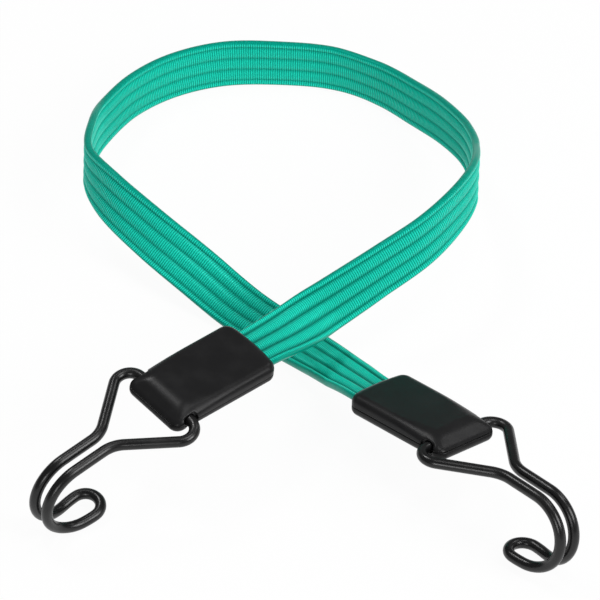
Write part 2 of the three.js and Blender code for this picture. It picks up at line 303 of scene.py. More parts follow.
@dataclass(frozen=True)
class MouldedFinish:
    """Satin black plastic from a fine-textured mould."""

    colour: Colour = (0.0105, 0.0105, 0.011)
    worn: Colour = (0.019, 0.019, 0.0196)
    specular: float = 0.16
    roughness: Span = (0.28, 0.38)
    cloud: Span = (120, 4)
    worn_from: Span = (0.45, 0.8)
    worn_share: Span = (0.0, 0.5)
    grain: Span = (4500, 2)
    bump: Span = (0.12, 0.00005)

    def material(self) -> Material:
        """Builds the material.

        Returns:
            The plastic.
        """
        board = NodeBoard("moulded_black")
        cloud = board.noise(*self.cloud)
        wear = board.ranged(cloud, self.worn_from, self.worn_share)
        colour = board.mixed(wear, self.colour, self.worn)
        board.feed(Base_Color=colour, Roughness=board.ranged(cloud, MOST_NOISE, self.roughness))
        board.fixed(Specular_IOR_Level=self.specular)
        board.bumped(board.noise(*self.grain), *self.bump)
        return board.material


@dataclass(frozen=True)
class CoatedWireFinish:
    """Gloss black coating on wire, with a slight skin and rubbed spots."""

    colour: Colour = (0.004, 0.004, 0.0043)
    rubbed: Colour = (0.01, 0.01, 0.01)
    specular: float = 0.42
    roughness: Span = (0.24, 0.34)
    rub: Span = (90, 5)
    rubbed_from: Span = (0.5, 0.75)
    rough_from: Span = (0.35, 0.7)
    skin: Span = (420, 3)
    bump: Span = (0.05, 0.0002)

    def material(self) -> Material:
        """Builds the material.

        Returns:
            The coating.
        """
        board = NodeBoard("coated_wire")
        rub = board.noise(*self.rub)
        colour = board.mixed(board.ranged(rub, self.rubbed_from, FULL), self.colour, self.rubbed)
        board.feed(Base_Color=colour, Roughness=board.ranged(rub, self.rough_from, self.roughness))
        board.fixed(Specular_IOR_Level=self.specular)
        board.bumped(board.noise(*self.skin), *self.bump)
        return board.material


@dataclass(frozen=True)
class StripFinish:
    """Zinc plated steel strip, drawn along its length."""

    colour: Colour = (0.46, 0.47, 0.48)
    dull: Colour = (0.3, 0.31, 0.32)
    roughness: Span = (0.25, 0.45)
    drawn: Span = (60, 4)
    drawn_stretch: Place = (1, 1, 40)

    def material(self) -> Material:
        """Builds the material.

        Returns:
            The plated steel.
        """
        board = NodeBoard("zinc_strip")
        drawn = board.noise(*self.drawn, self.drawn_stretch)
        colour = board.mixed(drawn, self.colour, self.dull)
        board.feed(Base_Color=colour, Roughness=board.ranged(drawn, MOST_NOISE, self.roughness))
        board.fixed(Metallic=1.0)
        return board.material


@dataclass(frozen=True)
class FloorFinish:
    """Pale floor: white where it is seen or mirrored, but with the object's soft shadow."""

    colour: Colour = (0.92, 0.92, 0.92)
    specular: float = 0.1
    roughness: float = 0.8
    white: float = 0.95

    def material(self) -> Material:
        """Builds the material.

        Returns:
            The floor's paint, mixed with plain white for the rays that see it.
        """
        board = NodeBoard("pale_floor")
        board.fixed(Base_Color=(*self.colour, 1), Roughness=self.roughness)
        board.fixed(Specular_IOR_Level=self.specular)
        path = board.add("ShaderNodeLightPath")
        seen = path.outputs["Is Camera Ray"]
        for ray in ("Is Glossy Ray", "Is Transmission Ray"):
            either = board.add("ShaderNodeMath", operation="MAXIMUM")
            board.join(seen, either.inputs[0])
            board.join(path.outputs[ray], either.inputs[1])
            seen = either.outputs["Value"]
        share = board.add("ShaderNodeMath", operation="MULTIPLY")
        share.inputs[1].default_value = self.white
        board.join(seen, share.inputs[0])
        white = board.add("ShaderNodeEmission")
        mix = board.add("ShaderNodeMixShader")
        board.join(share.outputs["Value"], mix.inputs["Fac"])
        board.join(board.shader.outputs["BSDF"], mix.inputs[1])
        board.join(white.outputs["Emission"], mix.inputs[2])
        output = board.tree.nodes["Material Output"]
        board.join(mix.outputs["Shader"], output.inputs["Surface"])
        return board.material


def new_piece(name: str, points: Array, faces: Faces, material: Material) -> Piece:
    """Makes a smooth mesh object and links it to the scene.

    Args:
        name: the piece's name.
        points: rows of x, y, z in metres.
        faces: lists of point numbers.
        material: its finish.

    Returns:
        The object.
    """
    mesh = bpy.data.meshes.new(name)
    mesh.from_pydata(points.tolist(), [], faces)
    mesh.polygons.foreach_set("use_smooth", np.ones(len(mesh.polygons), bool))
    mesh.materials.append(material)
    mesh.update()
    piece = bpy.data.objects.new(name, mesh)
    bpy.context.scene.collection.objects.link(piece)
    return piece


def tube_faces(rings: int, sides: int) -> Faces:
    """Faces of a tube with two end caps.

    Args:
        rings: how many rings of points it has.
        sides: points in each ring.

    Returns:
        The faces, pointing out where a ring turns left-handed about the way it goes.
    """
    ring = np.arange(rings - 1)[:, None] * sides
    here, after = np.arange(sides), np.roll(np.arange(sides), -1)
    quads = np.stack([ring + here, ring + after, ring + sides + after, ring + sides + here], -1)
    caps = [list(range(sides))[::-1], list(range((rings - 1) * sides, rings * sides))]
    return quads.reshape(-1, 4).tolist() + caps


class Route:
    """A smooth line through points, by arc length, with a value that runs along with it."""

    # Gaps below this are taken to be none
    NO_GAP = 1e-4

    def __init__(self, points: Array, values: Array, fine: int = 120) -> None:
        """Samples the line.

        Args:
            points: rows of x, y, z that the line goes through.
            values: one number for each point.
            fine: samples between two points.
        """
        weight = np.linspace(0, 1, fine, endpoint=False)
        self.line = self.through(points, weight)
        self.value = self.through(values[:, None], weight)[:, 0]
        steps = np.linalg.norm(np.diff(self.line, axis=0), axis=1)
        self.run = np.concatenate([[0], np.cumsum(steps)])

    def through(self, points: Array, weight: Array) -> Array:
        """Centripetal curve through points.

        Args:
            points: one row for each point.
            weight: shares of the way from a point to the next.

        Returns:
            The rows of the curve, its last point included.
        """
        whole = np.vstack([2 * points[0] - points[1], points, 2 * points[-1] - points[-2]])
        gaps = np.sqrt(np.linalg.norm(np.diff(whole, axis=0), axis=1))
        share = weight[:, None]
        rows = []
        for i in range(len(points) - 1):
            before, here, after, beyond = whole[i : i + 4]
            middle = gaps[i + 1] if gaps[i + 1] > self.NO_GAP else 1.0
            first, last = (gap if gap > self.NO_GAP else middle for gap in (gaps[i], gaps[i + 2]))
            step = (after - here) / middle
            leave = (here - before) / first - (after - before) / (first + middle) + step
            arrive = step - (beyond - here) / (middle + last) + (beyond - after) / last
            leave, arrive = leave * middle, arrive * middle
            bend = -3 * here + 3 * after - 2 * leave - arrive
            twist = 2 * here - 2 * after + leave + arrive
            rows.append(here + share * (leave + share * (bend + share * twist)))
        return np.vstack([*rows, points[-1]])

    def at(self, runs: Array) -> tuple[Array, Array, Array]:
        """Points, directions and values at distances along the line.

        Args:
            runs: distances from its start.

        Returns:
            Rows of points, rows of unit directions, and the values.
        """
        middle = np.stack([np.interp(runs, self.run, column) for column in self.line.T], -1)
        slope = np.gradient(self.line, self.run, axis=0)
        along = np.stack([np.interp(runs, self.run, column) for column in slope.T], -1)
        along /= np.linalg.norm(along, axis=1, keepdims=True)
        return middle, along, np.interp(runs, self.run, self.value)


class SectionPoint(NamedTuple):
    """A point of the strap's section: three sizes in millimetres and two shares."""

    across: float
    height: float
    dip: float
    # The share of painted shade in a groove, and the share of cross threads with their painted
    # highlight
    groove: float
    thread: float


@dataclass
class Strap:
    """The ribbed elastic strap, from its left end to its right end, in millimetres.

    The reliefs are shares of the groove's depth, at the housings and far from them, and set how
    dark the grooves' painted shade is; the fade between them is in metres.
    """

    width: float = 20.0
    thickness: float = 3.0
    full_ribs: int = 3
    groove_depth: float = 1.0
    groove_power: float = 2.2
    dip_power: float = 2.0
    edge_power: float = 2.4
    tick: float = 0.92
    tick_height: float = 0.1
    # The cross threads' share, less on the crown and full on the flanks, also places their painted
    # highlight
    crown_thread: float = 0.65
    full_thread_at: float = 0.7
    selvage: float = 1.1
    edge_bare: float = 0.15
    # The relief sets the grooves' depth and how dark their painted shade is, most near the
    # housings
    near_relief: float = 1.3
    far_relief: float = 0.6
    relief_fade: float = 0.07
    grip: float = 29.5
    stop: float = 13.5
    map_rows: int = 4
    path_step: int = 6

    # Where the section has points, as shares of the way from a crown to its edge or groove
    EDGE_SHARES = (1.0, 0.9, 0.68, 0.36, 0.0)
    HALF_RIB_SHARES = (0.5, 0.82, 1.0)
    RIB_SHARES = (-0.84, -0.52, 0.0, 0.52, 0.84, 1.0)

    # Start and length of the strap's rows on the folded map, and the place of its end caps
    MAP_ALONG = (0.01, 0.97)
    MAP_AROUND = (0.03, 0.92)
    MAP_CAPS = 0.995

    # Middle of the strap in metres, and its lean in degrees from standing on edge
    ROUTE = (
        ((-0.0045, 0.0585, 0.0310), -69),
        ((0.0095, 0.0750, 0.0285), -37),
        ((0.0280, 0.0890, 0.0325), -24),
        ((0.0465, 0.1020, 0.0380), -18),
        ((0.0590, 0.1185, 0.0395), -10),
        ((0.0660, 0.1385, 0.0355), -2),
        ((0.0670, 0.1585, 0.0280), 4),
        ((0.0645, 0.1790, 0.0225), 4),
        ((0.0560, 0.1985, 0.0180), 6),
        ((0.0450, 0.2165, 0.0130), 8),
        ((0.0310, 0.2325, 0.0105), 6),
        ((0.0130, 0.2430, 0.0100), 6),
        ((-0.0095, 0.2465, 0.0100), 7),
        ((-0.0325, 0.2460, 0.0100), 10),
        ((-0.0525, 0.2385, 0.0100), 9),
        ((-0.0680, 0.2240, 0.0115), 6),
        ((-0.0785, 0.2055, 0.0135), 5),
        ((-0.0830, 0.1855, 0.0195), 1),
        ((-0.0840, 0.1635, 0.0235), -4),
        ((-0.0750, 0.1440, 0.0250), -24),
        ((-0.0590, 0.1275, 0.0200), -38),
        ((-0.0410, 0.1135, 0.0125), -54),
        ((-0.0230, 0.0990, 0.0055), -70),
        ((-0.0055, 0.0840, 0.0040), -82),
        ((0.0070, 0.0680, 0.0080), -87.5),
        ((0.0170, 0.0505, 0.0150), -92),
    )

    def seats(self, place: EndPlace) -> tuple[Array, float]:
        """The strap's way inside a housing.

        Args:
            place: the end.

        Returns:
            Three points from the strap's end to the housing's mouth, and the lean in radians.
        """
        turn = place.turn()
        depths = np.array([self.stop, self.stop + self.grip / 2, self.stop + self.grip])
        points = place.placed(np.stack([-depths, 0 * depths, 0 * depths], -1), turn)
        along = turn[:, Axis.ALONG] * place.strap_side
        across = turn[:, Axis.ACROSS] * place.strap_side
        upright, side = self.upright_frame(along[None])
        return points, math.atan2(across @ side[0], across @ upright[0])

    @staticmethod
    def upright_frame(along: Array) -> tuple[Array, Array]:
        """Finds the way up and the way to the side, square to each direction.

        Args:
            along: rows of unit directions.

        Returns:
            Rows of ways up, and rows of ways to the side.
        """
        upright = np.array([0, 0, 1.0]) - along * along[:, 2:]
        upright /= np.linalg.norm(upright, axis=1, keepdims=True)
        return upright, np.cross(along, upright)

    def route(self) -> Route:
        """Joins the strap's ways in the two housings and its free way.

        Returns:
            The strap's middle line, with its lean along it in radians.
        """
        left, left_lean = self.seats(LEFT_PLACE)
        right, right_lean = self.seats(RIGHT_PLACE)
        points = np.vstack([left, [point for point, _ in self.ROUTE], right[::-1]])
        free_leans = [math.radians(lean) for _, lean in self.ROUTE]
        leans = [left_lean] * len(left) + free_leans + [right_lean] * len(right)
        return Route(points, np.array(leans))

    def face_points(self) -> list[SectionPoint]:
        """One face of the section.

        Returns:
            Its points, from edge to edge.
        """
        pitch = self.width / (self.full_ribs + 1)
        edge = pitch / 4
        crown = self.width / 2 - edge
        top = self.thickness / 2
        outer = []
        for share in self.EDGE_SHARES:
            height = top * (1 - share**self.edge_power) ** (1 / self.edge_power)
            thread = 1 - min(1.0, share * edge / self.selvage + self.edge_bare)
            outer.append(SectionPoint(-crown - share * edge, height, 0.0, 0.0, thread))
        for share in self.HALF_RIB_SHARES:
            outer.append(SectionPoint(-crown + share * edge, top, *self.rib(share)))
        ribs = []
        for rib in range(self.full_ribs):
            middle = (rib - (self.full_ribs - 1) / 2) * pitch
            for share in self.RIB_SHARES:
                ribs.append(SectionPoint(middle + share * pitch / 2, top, *self.rib(share)))
        # The last rib already has the far groove, so the mirrored half leaves it out
        mirrored = [point._replace(across=-point.across) for point in outer[-2::-1]]
        return outer + ribs + mirrored

    def rib(self, share: float) -> tuple[float, float, float]:
        """Finds the form of a rib.

        Args:
            share: the place on it, 0 on its crown and 1 or -1 in a groove.

        Returns:
            The dip, the share of the groove's painted shade, and the share of cross threads with
            their painted highlight there.
        """
        off = abs(share)
        rise = min(1.0, off / self.full_thread_at)
        thread = self.crown_thread + (1 - self.crown_thread) * rise
        return self.groove_depth * off**self.dip_power, off**self.groove_power, thread

    def relief(self, runs: Array, length: float) -> Array:
        """Finds how full the ribs stand along the strap, most where a housing squeezes them, and
        how dark the grooves' painted shade is.

        Args:
            runs: distances from the strap's left end in metres.
            length: the strap's length in metres.

        Returns:
            The share of the groove's depth, and of the grooves' painted shade, at each distance.
        """
        free = np.maximum(np.minimum(runs, length - runs) - self.grip * MM, 0)
        fade = np.exp(-free / self.relief_fade)
        return self.far_relief + (self.near_relief - self.far_relief) * fade

    def build(self, finish: Material) -> Piece:
        """Makes the strap.

        Args:
            finish: its weave.

        Returns:
            The piece.
        """
        route = self.route()
        length = route.run[-1]
        # Two rings for each cross thread, one low and one high
        rings = 2 * round(length / (self.tick * MM)) + 1
        runs = np.linspace(0, length, rings)
        middle, along, lean = route.at(runs)
        upright, side = self.upright_frame(along)
        wide = np.cos(lean)[:, None] * upright + np.sin(lean)[:, None] * side
        facing = np.cross(along, wide)
        face = np.array(self.face_points())
        back = face[1:-1][::-1] * SectionPoint(1, -1, 1, 1, 1)
        section = np.vstack([face, back])
        across, height, dip, groove, thread = section.T
        relief = self.relief(runs, length)[:, None]
        zigzag = np.where(np.arange(rings) % 2, 1.0, -1.0)[:, None]
        lift = zigzag * self.tick_height * thread - relief * dip
        height = height + np.sign(height) * lift
        points = (
            middle[:, None]
            + wide[:, None] * (across * MM)[None, :, None]
            + facing[:, None] * (height * MM)[..., None]
        )
        faces = tube_faces(rings, len(section))
        piece = new_piece("strap", points.reshape(-1, 3), faces, finish)
        mesh = piece.data
        self.crease_rings(mesh, len(section))
        # Painted shade in the grooves, and the cross threads with their painted highlight
        self.write_values(mesh, "groove", relief * groove)
        self.write_values(mesh, "thread", (zigzag + 1) / 2 * thread)
        self.lay_maps(mesh, rings, across, length)
        self.declare(piece)
        return piece

    @staticmethod
    def crease_rings(mesh: Mesh, sides: int) -> None:
        """Makes the edges across the strap sharp, so that each thread has its own two facets.

        Args:
            mesh: the strap's mesh.
            sides: points in each of its rings.
        """
        ends = np.zeros(len(mesh.edges) * 2, np.int32)
        mesh.edges.foreach_get("vertices", ends)
        ring = ends.reshape(-1, 2) // sides
        mesh.edges.foreach_set("use_edge_sharp", ring[:, 0] == ring[:, 1])

    @staticmethod
    def write_values(mesh: Mesh, name: str, values: Array) -> None:
        """Writes a number on each point of a mesh."""
        layer = mesh.attributes.new(name, "FLOAT", "POINT")
        layer.data.foreach_set("value", values.astype(np.float32).ravel())

    def lay_maps(self, mesh: Mesh, rings: int, across: Array, length: float) -> None:
        """Gives the strap a map in metres for its weave, and one folded in rows on a square.

        Args:
            mesh: the strap's mesh.
            rings: its rings.
            across: each section point's place across the strap, in millimetres.
            length: the strap's length in metres.
        """
        sides = len(across)
        corners = np.zeros(len(mesh.loops), np.int32)
        mesh.loops.foreach_get("vertex_index", corners)
        ring, point = corners // sides, corners % sides
        weave = np.stack([ring * length / (rings - 1), across[point] * MM], -1)

        # The quads come first and the two caps last
        quad = np.repeat(np.arange((rings - 1) * sides), 4)
        walls = slice(0, len(quad))
        wraps = (quad % sides == sides - 1) & (point[walls] == 0)
        around = np.where(wraps, sides, point[walls]) / sides
        per_row = -(-(rings - 1) // self.map_rows)
        row = quad // sides // per_row
        folded = np.full((len(corners), 2), self.MAP_CAPS)
        start, run = self.MAP_ALONG
        folded[walls, 0] = start + run * (ring[walls] - row * per_row) / per_row
        start, run = self.MAP_AROUND
        folded[walls, 1] = (row + start + run * around) / self.map_rows
        for name, values in (("weave", weave), ("OFBake", folded)):
            layer = mesh.uv_layers.new(name=name)
            layer.data.foreach_set("uv", values.astype(np.float32).ravel())

    def declare(self, piece: Piece) -> None:
        """Says what the strap is and what it stands for.

        Args:
            piece: the strap.
        """
        cores = (f"rubber_core_{i + 1}" for i in range(self.full_ribs + 2))
        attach(piece, BODY)
        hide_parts("woven_cover", *cores)


def blended_max(first: Array, second: Array, soft: float) -> Array:
    """The larger of two distances, with the edge between them softened."""
    near = np.maximum(soft - np.abs(first - second), 0) / soft
    return np.maximum(first, second) + near * near * soft / 4


def rounded_max(first: Array, second: Array, radius: float) -> Array:
    """The larger of two distances, with the edge between them rounded to a radius."""
    corner = np.hypot(np.maximum(first + radius, 0), np.maximum(second + radius, 0))
    return np.minimum(np.maximum(first, second) + radius, 0) + corner - radius


def block_distance(points: Array, low: Place, high: Place) -> Array:
    """Distance to a block.

    Args:
        points: rows of x, y, z.
        low: its lowest corner.
        high: its highest corner.

    Returns:
        The distances, negative inside.
    """
    low, high = np.array(low), np.array(high)
    reach = np.abs(points - (low + high) / 2) - (high - low) / 2
    return np.linalg.norm(np.maximum(reach, 0), axis=1) + np.minimum(reach.max(axis=1), 0)


def bar_distance(points: Array, axis: Axis, centre: Place, radius: float, half: float) -> Array:
    """Distance to a round bar along one axis.

    Args:
        points: rows of x, y, z.
        axis: the bar's direction.
        centre: its middle.
        radius: its radius.
        half: half its length.

    Returns:
        The distances, negative inside.
    """
    away = points - np.array(centre)
    side = np.linalg.norm(np.delete(away, axis, axis=1), axis=1) - radius
    return np.maximum(side, np.abs(away[:, axis]) - half)


@dataclass
class FieldMesher:
    """Turns a distance field into a closed mesh of even quads."""

    pitch: float = 0.3
    cells_before: int = 2
    cells_after: int = 3
    settling: int = 5
    probe: float = 0.02
    least_slope: float = 0.2
    steps_per_pitch: int = 3

    def mesh(self, distance: Field, low: Place, high: Place) -> tuple[Array, Faces]:
        """Meshes the surface where the distance is 0.

        Args:
            distance: the field, negative inside.
            low: lowest corner to look in.
            high: highest corner.

        Returns:
            The points and the faces.
        """
        before, after = self.cells_before * self.pitch, self.cells_after * self.pitch
        axes = [np.arange(a - before, b + after, self.pitch) for a, b in zip(low, high)]
        grid = np.stack(np.meshgrid(*axes, indexing="ij"), -1)
        value = distance(grid.reshape(-1, 3)).reshape(grid.shape[:3])
        cells = tuple(n - 1 for n in value.shape)
        total, count = np.zeros((*cells, 3)), np.zeros(cells)
        for axis in range(3):
            self.add_crossings(axis, grid, value, total, count)
        active = count > 0
        number = np.full(cells, -1)
        number[active] = np.arange(active.sum())
        points = total[active] / count[active][:, None]
        faces = np.vstack([self.quads(axis, value, number) for axis in range(3)])
        return self.settled(points, distance), faces.tolist()

    @staticmethod
    def add_crossings(axis: int, grid: Array, value: Array, total: Array, count: Array) -> None:
        """Adds, for each cell, the places where its edges along one axis cross the surface.

        Args:
            axis: the edges' direction.
            grid: the grid points.
            value: their distances.
            total: sum of the places, for each cell.
            count: how many there are.
        """
        others = [k for k in range(3) if k != axis]
        for shifts in ((0, 0), (0, 1), (1, 0), (1, 1)):
            near = [slice(None)] * 3
            for k, shift in zip(others, shifts):
                near[k] = slice(shift, value.shape[k] - 1 + shift)
            far = list(near)
            near[axis], far[axis] = slice(0, -1), slice(1, None)
            near, far = tuple(near), tuple(far)
            first, second = value[near], value[far]
            crosses = (first < 0) != (second < 0)
            share = np.where(crosses, first / np.where(crosses, first - second, 1), 0)
            place = grid[near] + share[..., None] * (grid[far] - grid[near])
            total += place * crosses[..., None]
            count += crosses

    @staticmethod
    def quads(axis: int, value: Array, number: Array) -> Array:
        """The faces that cross the grid's edges along one axis.

        Args:
            axis: the edges' direction.
            value: the grid's distances.
            number: each cell's point number.

        Returns:
            Rows of four point numbers.
        """
        order = [axis, (axis + 1) % 3, (axis + 2) % 3]
        turned, cells = value.transpose(order), number.transpose(order)
        first, second = turned[:-1, 1:-1, 1:-1] < 0, turned[1:, 1:-1, 1:-1] < 0
        i, j, k = np.nonzero(first != second)
        around = [cells[i, j, k], cells[i, j + 1, k], cells[i, j + 1, k + 1], cells[i, j, k + 1]]
        faces = np.stack(around, -1)
        inside = first[i, j, k]
        return np.where(inside[:, None], faces, faces[:, ::-1])

    def settled(self, points: Array, distance: Field) -> Array:
        """Moves the points onto the surface.

        Args:
            points: rows of x, y, z near it.
            distance: the field.

        Returns:
            The moved points.
        """
        probes = self.probe * np.eye(3)
        longest = self.pitch / self.steps_per_pitch
        for _ in range(self.settling):
            rise = [distance(points + probe) - distance(points - probe) for probe in probes]
            slope = np.stack(rise, -1) / (2 * self.probe)
            steep = np.maximum((slope**2).sum(1), self.least_slope)
            step = slope * (distance(points) / steep)[:, None]
            points = points - np.clip(step, -longest, longest)
        return points


@dataclass
class Housing:
    """The two-part moulded housing on one end, in millimetres, with the pivot at its origin."""

    place: EndPlace
    front: float = 7.5
    rear: float = -43.0
    half_width: float = 14.5
    top: float = 4.6
    bottom: float = -4.1
    corner: float = 4.0
    edge_round: float = 3.6
    edge_drop: float = 3.0
    rear_bow: float = 0.7
    bow_limit: float = 1.4
    nose_slope: float = 7.0
    nose_drop: float = 4.2
    nose_ridge: float = 20.0
    shoulder_turn: float = 78.0
    ridge_soft: float = 1.6
    parting: float = 0.08
    parting_round: float = 0.15
    opening_soft: float = 0.35
    slot: Span = (10.3, 1.8)
    slot_past: float = 9.0
    stop: float = -13.2
    pocket: Span = (11.4, 2.9)
    pocket_run: Span = (-24.8, -16.2)
    wire_hole: float = 2.4
    hole_past: float = 6.0
    recess: float = 3.3
    recess_depth: float = 1.4
    recess_half: float = 4.0
    leg_space: float = 5.4
    peg: float = 1.5
    peg_room: float = 0.3
    peg_at: Span = (-7.5, 7.5)
    peg_length: float = 2.4
    peg_root: float = 1.0
    rear_margin: float = 1.0

    def outline(self, points: Array) -> Array:
        """Distance to the plan outline, with its round corners and bowed rear edge.

        Args:
            points: rows of x, y, z.

        Returns:
            The distances, negative inside.
        """
        middle = (self.front + self.rear) / 2
        flat = self.half_width - self.corner
        bow = self.rear_bow * np.minimum((points[:, 1] / flat) ** 2, self.bow_limit)
        x = np.where(points[:, 0] < middle, points[:, 0] - bow, points[:, 0])
        reach = np.stack([np.abs(x - middle), np.abs(points[:, 1])], -1)
        reach -= np.array([(self.front - self.rear) / 2, self.half_width]) - self.corner
        outside = np.linalg.norm(np.maximum(reach, 0), axis=1)
        return outside + np.minimum(reach.max(axis=1), 0) - self.corner

    def facet(self, points: Array, turn: float, at: float) -> Array:
        """Distance to a sloped facet at the hook end.

        Args:
            points: rows of x, y, z.
            turn: its turn about the upright, in degrees.
            at: where its ridge starts, across the housing.

        Returns:
            The distances, negative below the facet.
        """
        slope = math.hypot(self.nose_slope, self.nose_drop)
        lean, rise = self.nose_drop / slope, self.nose_slope / slope
        way = np.array([math.cos(math.radians(turn)), math.sin(math.radians(turn))])
        away = (points[:, :2] - np.array([self.front - self.nose_slope, at])) @ way
        return away * lean + (points[:, 2] - self.top) * rise

    def body(self, points: Array) -> Array:
        """Distance to the whole outer form, without its openings.

        Args:
            points: rows of x, y, z.

        Returns:
            The distances, negative inside.
        """
        middle, half = (self.top + self.bottom) / 2, (self.top - self.bottom) / 2
        tall = np.abs(points[:, 2] - middle) - half
        plan = self.outline(points) * self.edge_drop / self.edge_round
        form = rounded_max(plan, tall, self.edge_drop)
        form = blended_max(form, self.facet(points, 0, 0), self.ridge_soft)
        for side in BOTH_SIDES:
            shoulder = self.facet(points, side * self.shoulder_turn, side * self.nose_ridge / 2)
            form = blended_max(form, shoulder, self.ridge_soft)
        return form

    def openings(self, points: Array) -> Array:
        """Distance to all that is open: strap slot, band pocket, wire holes and their recesses.

        Args:
            points: rows of x, y, z.

        Returns:
            The distances, negative in an opening.
        """
        wide, high = self.slot
        slot_from = self.rear - self.slot_past
        away = block_distance(points, (slot_from, -wide, -high), (self.stop, wide, high))
        wide, high = self.pocket
        start, end = self.pocket_run
        pocket = block_distance(points, (start, -wide, -high), (end, wide, high))
        away = np.minimum(away, pocket)
        run = self.half_width - self.leg_space / 2 + self.hole_past
        hole_at = self.leg_space / 2 + run / 2
        recess_at = self.half_width - self.recess_depth + self.recess_half
        for side in BOTH_SIDES:
            for at, radius, half in (
                (hole_at, self.wire_hole, run / 2),
                (recess_at, self.recess, self.recess_half),
            ):
                bar = bar_distance(points, Axis.ACROSS, (0, side * at, 0), radius, half)
                away = np.minimum(away, bar)
        return away

    def pegs(self, points: Array, room: float) -> Array:
        """Distance to the two locating pegs.

        Args:
            points: rows of x, y, z.
            room: the clearance that they are grown by.

        Returns:
            The distances, negative inside.
        """
        half = (self.peg_length + self.peg_root + room) / 2
        middle = self.peg_root - half
        x, y = self.peg_at
        centres = [(x, side * y, middle) for side in BOTH_SIDES]
        radius = self.peg + room
        return np.minimum(*(bar_distance(points, Axis.UP, at, radius, half) for at in centres))

    def shell(self, points: Array, shell: Shell) -> Array:
        """Distance to one of the two shells.

        Args:
            points: rows of x, y, z.
            shell: which one.

        Returns:
            The distances, negative inside.
        """
        side = 1 if shell is Shell.UPPER else -1
        split = self.parting - side * points[:, 2]
        half = rounded_max(self.body(points), split, self.parting_round)
        hollow = blended_max(half, -self.openings(points), self.opening_soft)
        if shell is Shell.UPPER:
            return np.minimum(hollow, self.pegs(points, 0))
        return np.maximum(hollow, -self.pegs(points, self.peg_room))

    def build(self, finish: Material) -> list[Piece]:
        """Makes the two shells.

        Args:
            finish: the moulded plastic.

        Returns:
            The two pieces.
        """
        name = self.place.end.value
        mesher = FieldMesher()
        heights = {Shell.UPPER: (-self.peg_length, self.top), Shell.LOWER: (self.bottom, 0)}
        pieces = []
        for shell, (lowest, highest) in heights.items():
            low = (self.rear - self.rear_margin, -self.half_width, lowest)
            high = (self.front, self.half_width, highest)
            points, faces = mesher.mesh(lambda p, s=shell: self.shell(p, s), low, high)
            placed = self.place.placed(points, self.place.turn())
            piece = new_piece(f"{name}_{shell.value}_housing", placed, faces, finish)
            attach(piece, BODY)
            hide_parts(f"{name}_{shell.value}_shell")
            pieces.append(piece)
        return pieces


